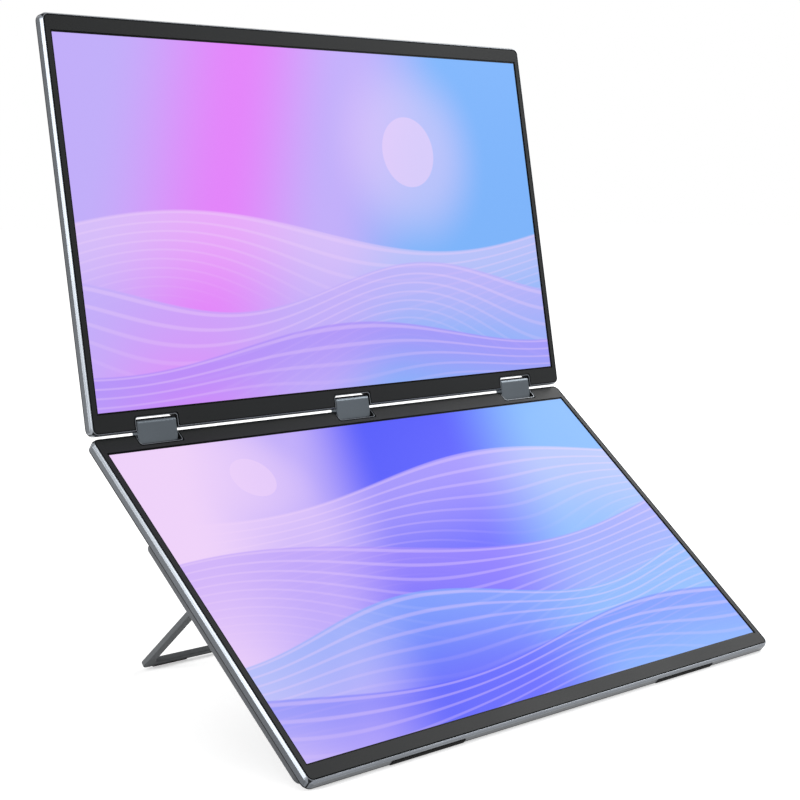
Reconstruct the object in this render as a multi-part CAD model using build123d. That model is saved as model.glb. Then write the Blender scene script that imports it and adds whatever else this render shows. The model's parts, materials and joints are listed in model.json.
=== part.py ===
from build123d import *
import math
import os

# A stacked dual-screen monitor, in millimetres: X along the hinges, Y away from the viewer, Z up.
# A panel is drawn in its own frame: x along the hinges, y back from its hinge axis, and z across
# the screen, away from that axis. The lower panel is the same drawing, turned over in z.

# Display, 18.5 inch 16:9, the same in both panels
LIT_W = 409.6
LIT_H = 230.4
CELL_MARGIN = 2.0
CELL_T = 1.1
BACKLIGHT_T = 2.2
DRIVER_END_GAP = 44.8
DRIVER_W = 12.0
DRIVER_T = 0.8
DRIVER_SETBACK = 6.0

# Panel shell
SIDE_BORDER = 5.1
FAR_BORDER = 10.6
HINGE_BORDER = 12.5
LIP = 1.3
PANEL_T = 6.8
CORNER_R = 5.0
FRONT_CHAMFER = 1.0
SIDE_CHAMFER = 2.0
CHAMFER_EDGE_R = 0.3
BEZEL_T = 0.6
BEZEL_SEAM = 0.8
BEZEL_WINDOW_GAP = 1.2
REAR_T = 1.0
REAR_INSET = 0.05
REAR_EDGE_R = 0.2
FIT = 0.05
MODULE_CLEAR = 0.3

# Double-axis hinges
HINGE_SIDE_INSET = 48.2
AXIS_INSET = 3.2
AXIS_SPACING = 8.5
NOTCH_W = 31.5
NOTCH_REACH = 5.8
NOTCH_R = 2.0
NOTCH_RIM = 0.4
SHAFT_R = 1.25
RUNNING_FIT = 0.05
BEARING_L = 5.0
COVER_SIDE_GAP = 0.75
COVER_END_GAP = 1.0
COVER_SINK = 0.2
COVER_END_R = 3.0
COVER_EDGE_R = 0.8
COVER_WALL = 0.8
COVER_END_WALL = 1.4
LINK_PLATE_T = 2.0
BUSH_L = 7.0
BUSH_WALL = 0.8
BRACKET_L = 16.0
BRACKET_SETBACK = 1.5
KNUCKLE_R = 2.0
LEAF_T = 1.0
LEAF_REACH = 6.0
BRACKET_SCREW_R = 0.9
BRACKET_SCREW_HEAD_R = 1.5
BRACKET_SCREW_HEAD_T = 0.4
BRACKET_SCREW_L = 2.4
BRACKET_SCREW_PITCH = 8.0

# Raised housing on the back of the lower panel
HOUSING_TOP = 62.5
HOUSING_FAR_INSET = 6.5
HOUSING_SIDE_INSET = 1.5
HOUSING_R = 4.5
HOUSING_EDGE_R = 1.2
HOUSING_WALL = 1.2
HOUSING_SIDE_WALL = 1.5
WELL_CLEAR = 0.4
PIVOT_BAND = 12.0
FAR_BAND = 10.0
HOUSING_SCREW_R = 1.0
HOUSING_SCREW_HEAD_R = 2.2
HOUSING_SCREW_HEAD_T = 1.2
HOUSING_SCREW_SIDE_INSET = 18.0
HOUSING_SCREW_LEG_INSET = 69.25
HOUSING_SCREW_INSET = 5.5

# Kickstand
STAND_SIDE_INSET = 85.95
LEG_W = 7.0
FOOT_BAR_H = 6.0
STAND_SINK = 1.2
STAND_CORNER_R = 4.0
STAND_INNER_R = 3.0
STAND_EDGE_R = 0.8
STAND_OPEN = 99.6
PIVOT_INSET = 4.5
PIVOT_CLEAR = 0.7
SLOT_CLEAR = 0.5
PIN_R = 1.25
PIN_GRIP = 5.0

# Rubber feet, each cut flat where it meets the table
PAD_L = 28.0
PAD_W = 2.6
PAD_SEAT = 1.5
PAD_PROUD = 1.5
PAD_INSET = 10.0
FRONT_FOOT_SIDE_INSET = 62.95
FRONT_FOOT_L = 58.5
FRONT_FOOT_W = 3.9
FRONT_FOOT_SEAT = 1.0
FRONT_FOOT_PROUD = 0.35
FRONT_FOOT_REAR_PROUD = 0.6
FOOT_FLAT = 0.5

# Sockets, buttons and main board, along the housing's right side
PORT_H = 3.2
PORT_CLEAR = 0.05
PORT_WALL = 0.3
PORT_DEPTH = 7.3
PORT_MOUTH_SINK = 0.3
PORT_BACK_T = 1.0
TONGUE_T = 0.7
TONGUE_SETBACK = 1.2
TONGUE_SIDE_GAP = 0.8
DATA_SOCKET_W = 8.94
VIDEO_SOCKET_W = 11.2
VIDEO_SOCKET_CHAMFER = 1.0
PORT_START = 42.0
PORT_PITCH = 15.0
BUTTON_START = 92.0
BUTTON_PITCH = 14.0
BUTTON_L = 9.0
BUTTON_H = 1.9
BUTTON_PROUD = 0.6
BUTTON_TRAVEL = 0.4
BUTTON_GAP = 0.3
FLANGE_RIM = 0.35
FLANGE_T = 0.8
STEM_R = 0.7
STEM_L = 1.2
SWITCH_L = 5.0
SWITCH_D = 2.6
SWITCH_H = 2.2
BOARD_W = 46.0
BOARD_T = 0.8
BOARD_END = 10.0
BOARD_EDGE_GAP = 0.3
BOARD_NOTCH_GAP = 0.15
POST_R = 1.8
POST_INSET = 4.0
POST_PORT_INSET = 14.0

# How far the upper panel leans towards the viewer from flat, in degrees
FOLD = 40.1

# Sizes that follow
OVER = 1.0
OUT_W = LIT_W + 2 * (SIDE_BORDER + LIP)
OUT_H = LIT_H + FAR_BORDER + HINGE_BORDER + 2 * LIP
DRIVER_L = LIT_W - 2 * DRIVER_END_GAP
AXIS_D = PANEL_T / 2
FAR_Z = OUT_H - AXIS_INSET
MID_Z = OUT_H / 2 - AXIS_INSET
LIT_Z = HINGE_BORDER + LIP - AXIS_INSET
LIT_MID_Z = LIT_Z + LIT_H / 2
REAR_Y = PANEL_T - AXIS_D
CELL_BACK = BEZEL_T + CELL_T
MODULE_BACK = CELL_BACK + BACKLIGHT_T
HINGE_PITCH = OUT_W / 2 - HINGE_SIDE_INSET
HINGES = {"left": -HINGE_PITCH, "middle": 0.0, "right": HINGE_PITCH}

COVER_W = NOTCH_W - 2 * COVER_SIDE_GAP
COVER_T = PANEL_T - 2 * COVER_SINK
COVER_L = AXIS_SPACING + 2 * (NOTCH_REACH - COVER_END_GAP)
LINK_R = COVER_T / 2 - COVER_WALL - FIT
LINK_X = COVER_W / 2 - COVER_END_WALL - FIT
BORE_R = SHAFT_R + RUNNING_FIT
BRACKET_X = NOTCH_W / 2 + BRACKET_SETBACK

HOUSING_T = HOUSING_WALL + PORT_H + 2 * WELL_CLEAR
HOUSING_W = OUT_W - 2 * HOUSING_SIDE_INSET
HOUSING_TOP_Z = LIT_Z + HOUSING_TOP
HOUSING_FAR_Z = FAR_Z - HOUSING_FAR_INSET
HOUSING_H = HOUSING_FAR_Z - HOUSING_TOP_Z
HOUSING_BACK = PANEL_T + HOUSING_T
WELL_BACK = HOUSING_BACK - HOUSING_WALL
BOARD_Y = (PANEL_T + WELL_BACK) / 2 - AXIS_D
WALL_X = HOUSING_W / 2 - HOUSING_SIDE_WALL

STAND_W = OUT_W - 2 * STAND_SIDE_INSET
STAND_T = HOUSING_T - STAND_SINK
PIVOT_Z = HOUSING_TOP_Z + PIVOT_INSET
PIVOT_Y = HOUSING_BACK - STAND_T / 2 - AXIS_D
STAND_L = HOUSING_FAR_Z - PIVOT_Z
LEG_X = STAND_W / 2 - LEG_W / 2
HOUSING_SCREW_OUT = HOUSING_W / 2 - HOUSING_SCREW_SIDE_INSET
HOUSING_SCREW_IN = STAND_W / 2 - HOUSING_SCREW_LEG_INSET
FRONT_FOOT_X = OUT_W / 2 - FRONT_FOOT_SIDE_INSET - FRONT_FOOT_L / 2

PORTS = {name: HOUSING_TOP_Z + PORT_START + i * PORT_PITCH
         for i, name in enumerate(("data_socket_1", "data_socket_2", "video_socket"))}
BUTTONS = {name: HOUSING_TOP_Z + BUTTON_START + i * BUTTON_PITCH
           for i, name in enumerate(("power_button", "menu_button"))}


# Drawing helpers
def block(x0, x1, y0, y1, z0, z1):
    return Pos((x0 + x1) / 2, (y0 + y1) / 2, (z0 + z1) / 2) * Box(x1 - x0, y1 - y0, z1 - z0)


def plate(outline, front, back):
    """An outline drawn in x and z, from one depth behind the panel's front face to another."""
    return Pos(0, back - AXIS_D, 0) * Rot(X=90) * extrude(outline, back - front)


def bar(outline, x0, x1, y=0.0, z=0.0):
    """An outline drawn in y and z, from one x to another."""
    return Pos(x0, y, z) * extrude(Plane.YZ * outline, x1 - x0)


def rod(radius, x0, x1, y=0.0, z=0.0):
    return bar(Circle(radius), x0, x1, y, z)


def group(pieces):
    return Compound([piece.solid() for piece in pieces])


# Panels
def panel_outline(inset=0.0):
    return Pos(0, MID_Z) * RectangleRounded(OUT_W - 2 * inset, OUT_H - 2 * inset, CORNER_R - inset)


def notches(grow=0.0):
    """The three hinge notches, open at the hinge edge."""
    reach = NOTCH_REACH + AXIS_INSET
    cut = RectangleRounded(NOTCH_W + 2 * grow, 2 * reach, NOTCH_R)
    return [Pos(x, NOTCH_REACH + grow - reach) * cut for x in HINGES.values()]


def rim_outline(inset, clear=0.0):
    """A panel outline inside the metal rim, less the notches and their rims."""
    return panel_outline(inset - clear) - notches(NOTCH_RIM - clear)


def module_outline(margin):
    return Pos(0, LIT_MID_Z) * Rectangle(LIT_W + 2 * margin, LIT_H + 2 * margin)


def bracket_pocket(x):
    """Room in the frame for one hinge bracket: a trough for the knuckle and a ledge for the leaf."""
    x0 = x + BRACKET_X - MODULE_CLEAR
    x1 = x + BRACKET_X + BRACKET_L + MODULE_CLEAR
    room = KNUCKLE_R + FIT
    back = REAR_Y - REAR_T
    trough = block(x0, x1, -room, back, -room, room)
    ledge = block(x0, x1, KNUCKLE_R - LEAF_T, back, -room, LEAF_REACH + MODULE_CLEAR)
    return trough + ledge


def bracket_screw_places(x):
    middle = x + BRACKET_X + BRACKET_L / 2
    z = (KNUCKLE_R + LEAF_REACH) / 2
    return [(middle + side * BRACKET_SCREW_PITCH / 2, z) for side in (-1, 1)]


def peg(radius, x, z, y0, y1):
    """A round peg across the panel's thickness."""
    return Pos(x, y1, z) * Rot(X=90) * extrude(Circle(radius), y1 - y0)


def panel_frame():
    """The metal frame, with a bright-cut chamfer round its front, up to the rear cover."""
    body = plate(panel_outline(), 0, PANEL_T - REAR_T)
    front = body.faces().sort_by(Axis.Y)[0]
    body = chamfer(front.edges(), FRONT_CHAMFER, SIDE_CHAMFER, reference=front)
    ridges = body.edges().group_by(Axis.Y)
    body = fillet(ridges[0] + ridges[2], CHAMFER_EDGE_R)
    body -= plate(rim_outline(LIP, FIT), -OVER, BEZEL_T)
    body -= plate(module_outline(CELL_MARGIN + MODULE_CLEAR), BEZEL_T - OVER, PANEL_T)
    for notch in notches():
        body -= plate(notch, -OVER, PANEL_T + OVER)
    for x in HINGES.values():
        body -= bracket_pocket(x)
        body -= rod(SHAFT_R + FIT, x - NOTCH_W / 2 - BEARING_L - FIT, x + BRACKET_X)
        for screw_x, z in bracket_screw_places(x):
            tip = KNUCKLE_R - BRACKET_SCREW_L - FIT
            body -= peg(BRACKET_SCREW_R + FIT, screw_x, z, tip, KNUCKLE_R)
    return body


def panel_bezel():
    """The front bezel, with a seam between it and the frame's rim."""
    return plate(rim_outline(LIP, -BEZEL_SEAM) - module_outline(BEZEL_WINDOW_GAP), 0, BEZEL_T)


def panel_rear_cover():
    """The back plate, a little smaller than the frame all round."""
    cover = plate(panel_outline(REAR_INSET), PANEL_T - REAR_T, PANEL_T)
    cover = fillet(cover.faces().sort_by(Axis.Y)[-1].edges(), REAR_EDGE_R)
    for notch in notches(REAR_INSET):
        cover -= plate(notch, PANEL_T - REAR_T - OVER, PANEL_T + OVER)
    return cover


def lcd_cell():
    return plate(module_outline(CELL_MARGIN), BEZEL_T, CELL_BACK)


def backlight():
    return plate(module_outline(CELL_MARGIN), CELL_BACK, MODULE_BACK)


def driver_board():
    z = LIT_Z + DRIVER_SETBACK + DRIVER_W / 2
    return plate(Pos(0, z) * Rectangle(DRIVER_L, DRIVER_W), MODULE_BACK, MODULE_BACK + DRIVER_T)


def hinge_bracket(x):
    x0 = x + BRACKET_X
    x1 = x0 + BRACKET_L
    leaf = block(x0, x1, KNUCKLE_R - LEAF_T, KNUCKLE_R, 0, LEAF_REACH)
    bracket = rod(KNUCKLE_R, x0, x1) + leaf - rod(SHAFT_R + FIT, x0 - OVER, x1 + OVER)
    for screw_x, z in bracket_screw_places(x):
        bracket -= peg(BRACKET_SCREW_R + FIT, screw_x, z, KNUCKLE_R - LEAF_T - OVER, KNUCKLE_R + OVER)
    return bracket


def hinge_shaft(x):
    return rod(SHAFT_R, x - NOTCH_W / 2 - BEARING_L, x + BRACKET_X + BRACKET_L)


def bracket_screws():
    screws = []
    for x in HINGES.values():
        for screw_x, z in bracket_screw_places(x):
            head = peg(BRACKET_SCREW_HEAD_R, screw_x, z, KNUCKLE_R, KNUCKLE_R + BRACKET_SCREW_HEAD_T)
            shank = peg(BRACKET_SCREW_R, screw_x, z, KNUCKLE_R - BRACKET_SCREW_L, KNUCKLE_R)
            screws.append(head + shank)
    return group(screws)


# Hinge links: between the lower axis at z = 0 and the upper axis at z = AXIS_SPACING
def hinge_cover(x):
    """A hollow cover with rounded ends, as its front and rear halves."""
    middle = AXIS_SPACING / 2
    x0 = x - COVER_W / 2
    x1 = x + COVER_W / 2
    shell = bar(RectangleRounded(COVER_T, COVER_L, COVER_END_R), x0, x1, 0, middle)
    ends = shell.faces().sort_by(Axis.X)
    shell = fillet(ends[0].edges() + ends[-1].edges(), COVER_EDGE_R)
    room = RectangleRounded(COVER_T - 2 * COVER_WALL, COVER_L - 2 * COVER_WALL, COVER_END_R - COVER_WALL)
    shell -= bar(room, x0 + COVER_END_WALL, x1 - COVER_END_WALL, 0, middle)
    for z in (0, AXIS_SPACING):
        shell -= rod(BORE_R, x0 - OVER, x1 + OVER, 0, z)
    front = shell & block(x0, x1, -COVER_T, 0, middle - COVER_L, middle + COVER_L)
    rear = shell & block(x0, x1, 0, COVER_T, middle - COVER_L, middle + COVER_L)
    return front, rear


def link_plates(x):
    """Two figure-of-eight plates that hold the shafts apart."""
    outline = Rot(Z=90) * SlotCenterToCenter(AXIS_SPACING, 2 * LINK_R)
    outline -= [Pos(0, side * AXIS_SPACING / 2) * Circle(BORE_R) for side in (-1, 1)]
    near = bar(outline, x - LINK_X, x - LINK_X + LINK_PLATE_T, 0, AXIS_SPACING / 2)
    far = bar(outline, x + LINK_X - LINK_PLATE_T, x + LINK_X, 0, AXIS_SPACING / 2)
    return group([near, far])


def friction_bushes(x):
    ring = Circle(SHAFT_R + RUNNING_FIT + BUSH_WALL) - Circle(BORE_R)
    start = LINK_X - LINK_PLATE_T
    bushes = []
    for z in (0, AXIS_SPACING):
        bushes.append(bar(ring, x - start, x - start + BUSH_L, 0, z))
        bushes.append(bar(ring, x + start - BUSH_L, x + start, 0, z))
    return group(bushes)


# Housing on the lower panel's back
def stand_slot():
    """The room that the folded kickstand lies in, open at the housing's far edge."""
    top = PIVOT_Z - STAND_T / 2 - PIVOT_CLEAR
    end = HOUSING_FAR_Z + OVER
    foot = PIVOT_Z + STAND_L - FOOT_BAR_H - SLOT_CLEAR
    room = Pos(0, (top + end) / 2) * Rectangle(STAND_W + 2 * SLOT_CLEAR, end - top)
    between = STAND_W - 2 * (LEG_W + SLOT_CLEAR)
    island = Pos(0, (top - OVER + foot) / 2) * Rectangle(between, foot - top + OVER)
    island = fillet(island.vertices().group_by(Axis.Y)[-1], STAND_INNER_R - SLOT_CLEAR)
    return plate(room - island, PANEL_T - OVER, HOUSING_BACK + OVER)


def well(x0, x1, z1):
    """A hollow in the housing, open towards the rear cover."""
    z0 = HOUSING_TOP_Z + PIVOT_BAND
    return block(x0, x1, REAR_Y - OVER, WELL_BACK - AXIS_D, z0, z1)


def housing_screw_places():
    top = HOUSING_TOP_Z + HOUSING_SCREW_INSET
    far = HOUSING_FAR_Z - HOUSING_SCREW_INSET
    places = [(side * HOUSING_SCREW_OUT, z) for side in (-1, 1) for z in (top, far)]
    return places + [(side * HOUSING_SCREW_IN, top) for side in (-1, 1)]


def board_box():
    """The main board's edges: x from and to, z from and to."""
    right = WALL_X - BOARD_EDGE_GAP
    near = min(PORTS.values()) - BOARD_END
    far = max(BUTTONS.values()) + BOARD_END
    return right - BOARD_W, right, near, far


def board_posts():
    x0, x1, z0, z1 = board_box()
    top = BOARD_Y + BOARD_T / 2
    back = WELL_BACK - AXIS_D + FIT
    return [peg(POST_R, x, z, top, back)
            for x in (x0 + POST_INSET, x1 - POST_PORT_INSET)
            for z in (z0 + POST_INSET, z1 - POST_INSET)]


def rear_housing():
    outline = Pos(0, (HOUSING_TOP_Z + HOUSING_FAR_Z) / 2) * RectangleRounded(HOUSING_W, HOUSING_H, HOUSING_R)
    body = plate(outline, PANEL_T, HOUSING_BACK)
    body = fillet(body.faces().sort_by(Axis.Y)[-1].edges(), HOUSING_EDGE_R)
    body -= stand_slot()
    outer = STAND_W / 2 + SLOT_CLEAR + HOUSING_SIDE_WALL
    inner = STAND_W / 2 - LEG_W - SLOT_CLEAR - HOUSING_SIDE_WALL
    foot = PIVOT_Z + STAND_L - FOOT_BAR_H - SLOT_CLEAR - HOUSING_SIDE_WALL
    body -= well(outer, WALL_X, HOUSING_FAR_Z - FAR_BAND)
    body -= well(-WALL_X, -outer, HOUSING_FAR_Z - FAR_BAND)
    body -= well(-inner, inner, foot)
    body += board_posts()
    for side in (-1, 1):
        reach = LEG_W / 2 + SLOT_CLEAR + PIN_GRIP + FIT
        body -= rod(PIN_R + FIT, side * LEG_X - reach, side * LEG_X + reach, PIVOT_Y, PIVOT_Z)
    for name, z in PORTS.items():
        body -= bar(port_outline(name, PORT_CLEAR), WALL_X - OVER, HOUSING_W, BOARD_Y, z)
    for z in BUTTONS.values():
        body -= bar(button_outline(BUTTON_GAP), WALL_X - OVER, HOUSING_W, BOARD_Y, z)
    back = HOUSING_BACK - AXIS_D
    for x, z in housing_screw_places():
        body -= peg(HOUSING_SCREW_R + FIT, x, z, REAR_Y - OVER, back)
        body -= peg(HOUSING_SCREW_HEAD_R + FIT, x, z, back - HOUSING_SCREW_HEAD_T, back + OVER)
    return body


def housing_screws():
    back = HOUSING_BACK - AXIS_D
    screws = []
    for x, z in housing_screw_places():
        head = peg(HOUSING_SCREW_HEAD_R, x, z, back - HOUSING_SCREW_HEAD_T, back - FIT)
        screws.append(head + peg(HOUSING_SCREW_R, x, z, REAR_Y - REAR_T, back - HOUSING_SCREW_HEAD_T))
    return group(screws)


def lower_rear_cover():
    cover = panel_rear_cover()
    for x, z in housing_screw_places():
        cover -= peg(HOUSING_SCREW_R + FIT, x, z, REAR_Y - REAR_T - OVER, REAR_Y + OVER)
    return cover - [front_foot(side, FIT) for side in (-1, 1)]


# Sockets, buttons and main board
def port_outline(name, grow=0.0):
    """A socket's mouth, drawn in y and z."""
    height = PORT_H + 2 * grow
    if name == "video_socket":
        half = VIDEO_SOCKET_W / 2 + grow
        corner = VIDEO_SOCKET_CHAMFER
        points = [(-height / 2, -half), (height / 2 - corner, -half), (height / 2, corner - half),
                  (height / 2, half - corner), (height / 2 - corner, half), (-height / 2, half)]
        return make_face(Polyline(*points, close=True))
    return Rot(Z=90) * SlotOverall(DATA_SOCKET_W + 2 * grow, height)


def socket(name, z):
    """A metal socket shell with a closed back and a tongue."""
    width = VIDEO_SOCKET_W if name == "video_socket" else DATA_SOCKET_W
    x1 = HOUSING_W / 2 - PORT_MOUTH_SINK
    x0 = x1 - PORT_DEPTH
    shell = bar(port_outline(name), x0, x1)
    shell -= bar(port_outline(name, -PORT_WALL), x0 + PORT_BACK_T, x1 + OVER)
    half = width / 2 - PORT_WALL - TONGUE_SIDE_GAP
    shell += block(x0, x1 - TONGUE_SETBACK, -TONGUE_T / 2, TONGUE_T / 2, -half, half)
    return Pos(0, BOARD_Y, z) * shell


def button_outline(grow=0.0):
    return Rot(Z=90) * SlotOverall(BUTTON_L + 2 * grow, BUTTON_H + 2 * grow)


def button_back():
    """Where a button's stem ends, inside the housing."""
    return WALL_X - BUTTON_GAP - FLANGE_T - STEM_L


def button(z):
    inside = WALL_X - BUTTON_GAP
    cap = bar(button_outline(), inside - FLANGE_T, HOUSING_W / 2 + BUTTON_PROUD)
    flange = bar(button_outline(BUTTON_GAP + FLANGE_RIM), inside - FLANGE_T, inside)
    stem = rod(STEM_R, button_back(), inside - FLANGE_T)
    return Pos(0, BOARD_Y, z) * (cap + flange + stem)


def switch_box(z, grow=0.0):
    x1 = button_back() - BUTTON_TRAVEL - BUTTON_GAP
    depth = SWITCH_H / 2 + grow
    half = SWITCH_L / 2 + grow
    return block(x1 - SWITCH_D - grow, x1, BOARD_Y - depth, BOARD_Y + depth, z - half, z + half)


def main_board():
    x0, x1, z0, z1 = board_box()
    board = block(x0, x1, BOARD_Y - BOARD_T / 2, BOARD_Y + BOARD_T / 2, z0, z1)
    for name, z in PORTS.items():
        back = HOUSING_W / 2 - PORT_MOUTH_SINK - PORT_DEPTH
        board -= bar(port_outline(name, BOARD_NOTCH_GAP), back - BOARD_NOTCH_GAP, x1 + OVER, BOARD_Y, z)
    for z in BUTTONS.values():
        room = button_outline(2 * BUTTON_GAP + FLANGE_RIM)
        start = button_back() - BUTTON_TRAVEL - BUTTON_GAP - OVER
        board -= bar(room, start, x1 + OVER, BOARD_Y, z)
        board -= switch_box(z, BOARD_NOTCH_GAP)
    return board


# Kickstand: its pivot is at the origin, and the folded legs run along z
def stand_outline():
    outer = Pos(0, STAND_L / 2) * Rectangle(STAND_W, STAND_L)
    outer = fillet(outer.vertices().group_by(Axis.Y)[-1], STAND_CORNER_R)
    gap_l = STAND_L - FOOT_BAR_H
    gap = Pos(0, gap_l / 2) * Rectangle(STAND_W - 2 * LEG_W, gap_l)
    gap = fillet(gap.vertices().group_by(Axis.Y)[-1], STAND_INNER_R)
    return outer - gap


def pad_spans():
    outer = STAND_W / 2 - PAD_INSET
    return {"left": (-outer, PAD_L - outer), "right": (outer - PAD_L, outer)}


def kickstand():
    half = STAND_T / 2
    frame = Pos(0, half, 0) * Rot(X=90) * extrude(stand_outline(), STAND_T)
    long_edges = [edge for edge in frame.edges()
                  if abs(abs(edge.center().Y) - half) < FIT and edge.center().Z > FIT]
    frame = fillet(long_edges, STAND_EDGE_R)
    for side in (-1, 1):
        frame += rod(half, side * LEG_X - LEG_W / 2, side * LEG_X + LEG_W / 2)
        frame -= rod(PIN_R + RUNNING_FIT, side * LEG_X - LEG_W, side * LEG_X + LEG_W)
    for x0, x1 in pad_spans().values():
        seat = PAD_W - half + FIT
        frame -= block(x0 - FIT, x1 + FIT, -half - OVER, seat, STAND_L - PAD_SEAT, STAND_L + OVER)
    return frame


def kickstand_pad(x0, x1):
    half = STAND_T / 2
    return block(x0, x1, -half, PAD_W - half, STAND_L - PAD_SEAT, STAND_L + PAD_PROUD)


def kickstand_pin(side):
    reach = LEG_W / 2 + SLOT_CLEAR + PIN_GRIP
    return rod(PIN_R, side * LEG_X - reach, side * LEG_X + reach, PIVOT_Y, PIVOT_Z)


def front_foot(side, grow=0.0):
    x = side * FRONT_FOOT_X
    half = FRONT_FOOT_L / 2 + grow
    rear = REAR_Y + FRONT_FOOT_REAR_PROUD
    front = rear - FRONT_FOOT_W
    return block(x - half, x + half, front - grow, rear + grow,
                 FAR_Z - FRONT_FOOT_SEAT, FAR_Z + FRONT_FOOT_PROUD)


def lower_frame():
    return panel_frame() - [front_foot(side, FIT) for side in (-1, 1)]


# Standing pose: the table touches the front feet and the open kickstand's pads
def standing_tilt():
    """The lower panel's angle to the table, and the height of the feet's corners under its axis."""
    turn = math.radians(STAND_OPEN)
    y = -STAND_T / 2
    z = -STAND_L - PAD_PROUD
    stand_y = PIVOT_Y + y * math.cos(turn) - z * math.sin(turn)
    stand_z = -PIVOT_Z + y * math.sin(turn) + z * math.cos(turn)
    foot_y = REAR_Y + FRONT_FOOT_REAR_PROUD
    foot_z = -FAR_Z - FRONT_FOOT_PROUD
    tilt = math.atan2(stand_y - foot_y, stand_z - foot_z)
    return math.degrees(tilt), foot_z * math.sin(tilt) - foot_y * math.cos(tilt)


TILT, CORNER_Z = standing_tilt()
TABLE_Z = CORNER_Z + FOOT_FLAT
ON_LOWER = Rot(X=TILT - 90)
ON_LINK = Rot(X=TILT + FOLD - 90)
ON_UPPER = ON_LINK * Pos(0, 0, AXIS_SPACING)
ON_STAND = ON_LOWER * Pos(0, PIVOT_Y, -PIVOT_Z) * Rot(X=STAND_OPEN)


def turned_over(shape):
    return mirror(shape, about=Plane.XY)


def trimmed(shape):
    """A rubber foot, cut flat at the table."""
    return shape - block(-OUT_W, OUT_W, -OUT_H, OUT_H, TABLE_Z - OUT_H, TABLE_Z)


def panel_pieces():
    """The pieces that both panels have."""
    pieces = {
        "bezel": panel_bezel(),
        "lcd_cell": lcd_cell(),
        "backlight": backlight(),
        "driver_board": driver_board(),
        "hinge_screws": bracket_screws(),
    }
    for side, x in HINGES.items():
        pieces[f"hinge_bracket_{side}"] = hinge_bracket(x)
        pieces[f"hinge_shaft_{side}"] = hinge_shaft(x)
    return pieces


def lower_pieces():
    """The pieces that only the lower panel has."""
    pieces = {
        "lower_frame": lower_frame(),
        "lower_rear_cover": lower_rear_cover(),
        "rear_housing": rear_housing(),
        "housing_screws": housing_screws(),
        "main_board": main_board(),
        "button_switches": group([switch_box(z) for z in BUTTONS.values()]),
        "kickstand_pin_left": kickstand_pin(-1),
        "kickstand_pin_right": kickstand_pin(1),
    }
    for name, z in PORTS.items():
        pieces[name] = socket(name, z)
    for name, z in BUTTONS.items():
        pieces[name] = button(z)
    return pieces


def assemble():
    """Every piece by its name, standing on the table, under the lower hinge axis at the origin."""
    nodes = {"upper_frame": ON_UPPER * panel_frame(), "upper_rear_cover": ON_UPPER * panel_rear_cover()}
    for name, piece in panel_pieces().items():
        nodes[f"upper_{name}"] = ON_UPPER * piece
        nodes[f"lower_{name}"] = ON_LOWER * turned_over(piece)
    for name, piece in lower_pieces().items():
        nodes[name] = ON_LOWER * turned_over(piece)
    for side, x in HINGES.items():
        front, rear = hinge_cover(x)
        nodes[f"hinge_cover_front_{side}"] = ON_LINK * front
        nodes[f"hinge_cover_rear_{side}"] = ON_LINK * rear
        nodes[f"hinge_link_plates_{side}"] = ON_LINK * link_plates(x)
        nodes[f"friction_bushes_{side}"] = ON_LINK * friction_bushes(x)
    nodes["kickstand"] = ON_STAND * turned_over(kickstand())
    for side, (x0, x1) in pad_spans().items():
        nodes[f"kickstand_pad_{side}"] = trimmed(ON_STAND * turned_over(kickstand_pad(x0, x1)))
    for side, sign in (("left", -1), ("right", 1)):
        nodes[f"front_foot_{side}"] = trimmed(ON_LOWER * turned_over(front_foot(sign)))
    return nodes


def to_reference(nodes):
    """The shift that puts the origin under the middle of the whole monitor, on the table."""
    box = Compound([solid for node in nodes.values() for solid in node.solids()]).bounding_box()
    middle = box.center()
    return Pos(-middle.X, -middle.Y, -TABLE_Z)


def main():
    os.makedirs("parts", exist_ok=True)
    nodes = assemble()
    shift = to_reference(nodes)
    for name, node in nodes.items():
        export_step(shift * node, f"parts/{name}.step")
    axes = {"lower hinge": ON_LOWER, "upper hinge": ON_UPPER, "kickstand": ON_STAND}
    for name, place in axes.items():
        print(name, "axis at", (shift * place).position)
    print("lower panel stands at", round(TILT, 2), "degrees")


main()
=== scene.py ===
import json
import math

import bmesh
import bpy
from bpy.props import FloatProperty, FloatVectorProperty, PointerProperty
from mathutils import Euler, Matrix, Vector


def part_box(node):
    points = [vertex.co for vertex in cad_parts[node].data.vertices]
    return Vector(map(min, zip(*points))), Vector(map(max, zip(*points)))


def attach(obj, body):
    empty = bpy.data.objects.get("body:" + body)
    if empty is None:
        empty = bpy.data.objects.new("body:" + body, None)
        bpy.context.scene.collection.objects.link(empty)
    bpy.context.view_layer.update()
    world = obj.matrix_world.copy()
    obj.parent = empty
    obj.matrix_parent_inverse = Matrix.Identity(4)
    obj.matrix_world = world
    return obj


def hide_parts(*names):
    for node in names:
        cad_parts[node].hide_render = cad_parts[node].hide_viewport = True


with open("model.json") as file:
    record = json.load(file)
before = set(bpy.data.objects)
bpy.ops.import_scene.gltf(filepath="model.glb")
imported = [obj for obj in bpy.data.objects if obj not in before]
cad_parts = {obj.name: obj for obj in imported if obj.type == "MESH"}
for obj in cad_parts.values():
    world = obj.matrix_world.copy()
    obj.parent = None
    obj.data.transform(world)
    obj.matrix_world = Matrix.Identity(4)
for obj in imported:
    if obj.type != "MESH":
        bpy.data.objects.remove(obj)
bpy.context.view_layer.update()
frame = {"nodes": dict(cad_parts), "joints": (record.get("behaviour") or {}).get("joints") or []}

bl_info = {
    "name": "Stacked Monitor Looks",
    "version": (1, 0, 0),
    "blender": (4, 5, 0),
    "location": "3D View > Sidebar > Monitor",
    "description": "Finishes, lit screens, screws and studio for a folding stacked monitor",
    "category": "Object",
}

NODES = frame["nodes"]
JOINTS = {joint["name"]: joint for joint in frame["joints"]}
SIDES = ("left", "middle", "right")

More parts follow.
